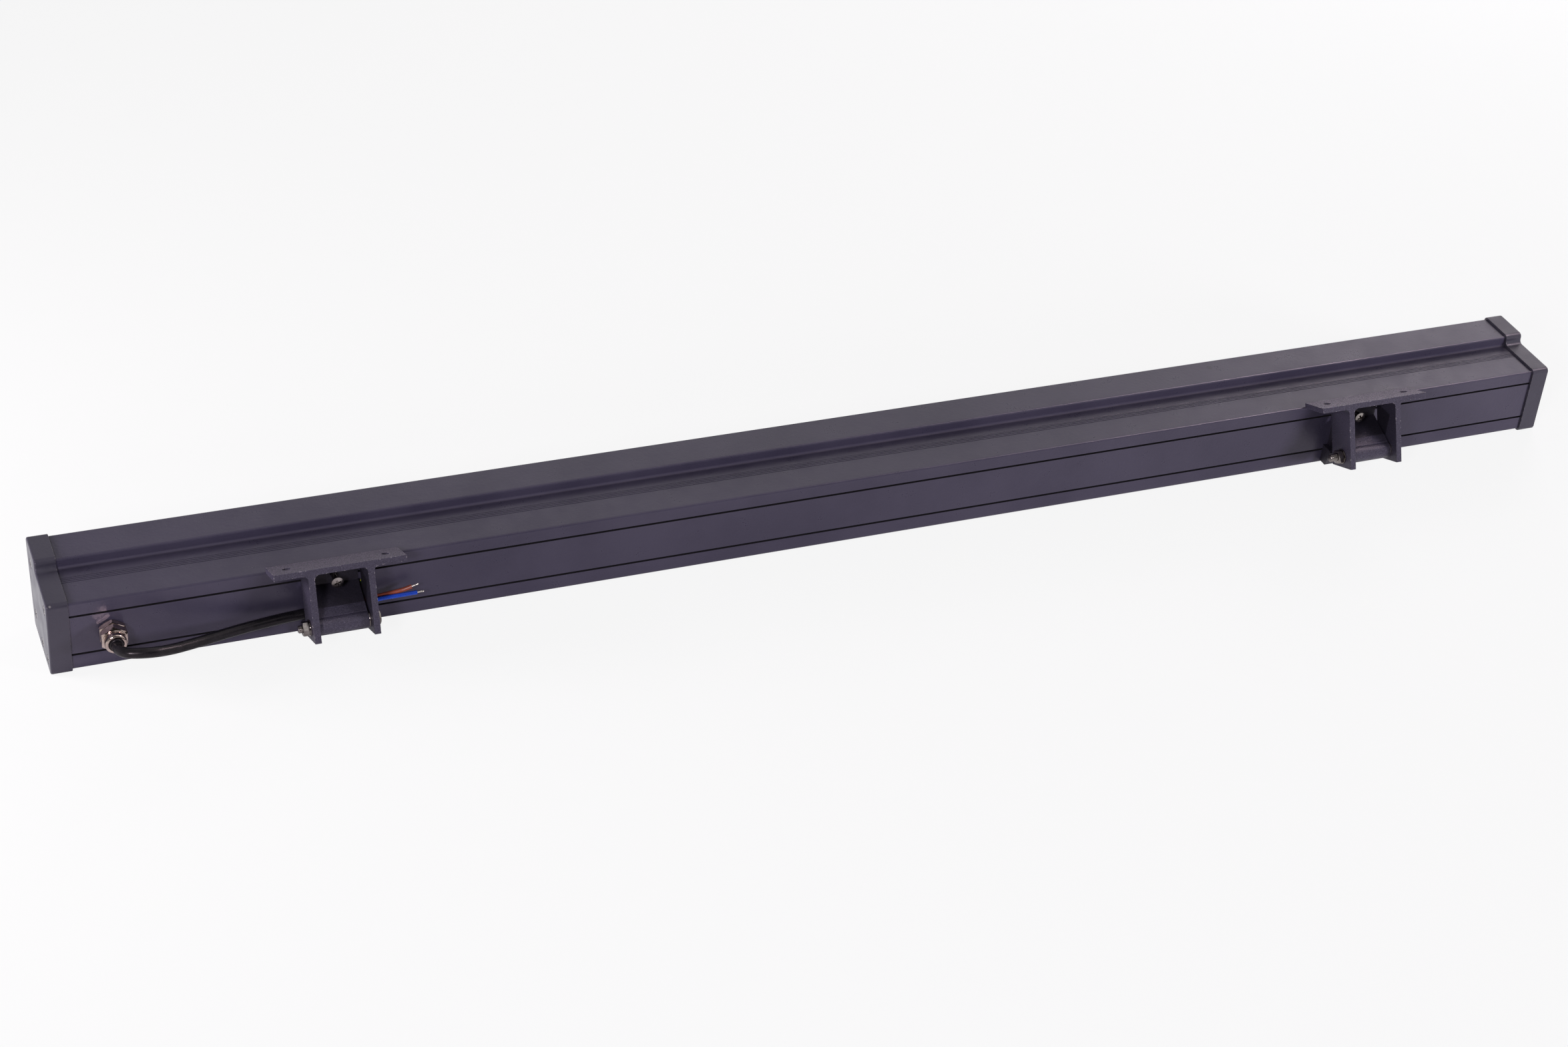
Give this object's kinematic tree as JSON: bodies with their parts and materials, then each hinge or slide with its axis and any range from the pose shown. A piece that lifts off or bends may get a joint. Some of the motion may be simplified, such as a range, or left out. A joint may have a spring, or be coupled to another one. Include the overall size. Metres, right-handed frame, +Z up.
{
  "type": "outdoor linear wall washer light",
  "caption": "Slim outdoor wall washer: extruded case with end caps, slanted window, brass cable gland and two tilting wall brackets on bolted hinge arms.",
  "frame": {"origin": "bottom centre of the box of the light without its cord: mid-length, on the plane that the end caps rest on", "axes": "+X along the case, gland end at negative X; +Y from the bracket side to the window side; +Z up, raised head on top"},
  "size_m": [1, 0.0974, 0.0587],
  "materials": {
    "case_coating": "fine powder coat, dark grey",
    "cap_coating": "fine powder coat on cast metal, dark grey",
    "bracket_coating": "coarse sanded powder coat, dark grey",
    "gland_plating": "nickel plate, polished",
    "zinc_plate": "bright zinc plate",
    "tray_sheet": "plain galvanised sheet",
    "black_rubber": "matt black",
    "window_clear": "clear tempered",
    "lens_clear": "clear moulded",
    "board_white": "white solder mask",
    "lamp_yellow": "yellow phosphor",
    "pad_grey": "soft heat-conducting sheet",
    "black_plastic": "moulded black",
    "driver_case": "moulded pale grey",
    "brown_insulation": "smooth brown",
    "blue_insulation": "smooth blue",
    "earth_insulation": "green and yellow",
    "lead_insulation": "brown, blue, green and yellow",
    "tinned_copper": "tinned strands"
  },
  "bodies": {
    "case": {"housing": "case_coating", "end_cap_left": "cap_coating", "end_cap_right": "cap_coating", "hinge_arm_left": "bracket_coating", "hinge_arm_right": "bracket_coating", "gland_body": "gland_plating", "gland_dome_nut": "gland_plating", "gland_lock_nut": "gland_plating", "cap_screws_left": "zinc_plate", "cap_screws_right": "zinc_plate", "arm_screw_left": "zinc_plate", "arm_screw_right": "zinc_plate", "board_screws": "zinc_plate", "tray_screws": "zinc_plate", "driver_screws": "zinc_plate", "terminal_screws": "zinc_plate", "earth_screw": "zinc_plate", "earth_lug": "zinc_plate", "driver_tray": "tray_sheet", "end_gasket_left": "black_rubber", "end_gasket_right": "black_rubber", "glass_seal": "black_rubber", "gland_o_ring": "black_rubber", "gland_seal": "black_rubber", "supply_cable": "black_rubber", "inner_cable": "black_rubber", "window_glass": "window_clear", "lenses": "lens_clear", "led_board_left": "board_white", "led_board_right": "board_white", "led_chips": "lamp_yellow", "thermal_pad": "pad_grey", "lens_carrier": "black_plastic", "driver": "driver_case", "terminal_block": "driver_case", "core_brown": "brown_insulation", "core_blue": "blue_insulation", "core_earth": "earth_insulation", "inlet_cores": "lead_insulation", "driver_input_leads": "lead_insulation", "driver_output_leads": "lead_insulation", "core_tips": "tinned_copper"},
    "left_bracket": {"bracket_left": "bracket_coating", "pivot_bolt_left": "zinc_plate", "pivot_nut_left": "zinc_plate", "pivot_washers_left": "zinc_plate", "pivot_spacer_left": "zinc_plate"},
    "right_bracket": {"bracket_right": "bracket_coating", "pivot_bolt_right": "zinc_plate", "pivot_nut_right": "zinc_plate", "pivot_washers_right": "zinc_plate", "pivot_spacer_right": "zinc_plate"}
  },
  "joints": [
    {"name": "left_tilt", "type": "hinge", "parent": "case", "child": "left_bracket", "pos_m": [-0.3368, -0.03621, 0.0213], "axis": [1, 0, 0], "range_deg": [0, 205]},
    {"name": "right_tilt", "type": "hinge", "parent": "case", "child": "right_bracket", "pos_m": [0.3497, -0.03621, 0.0213], "axis": [1, 0, 0], "range_deg": [0, 205]}
  ]
}
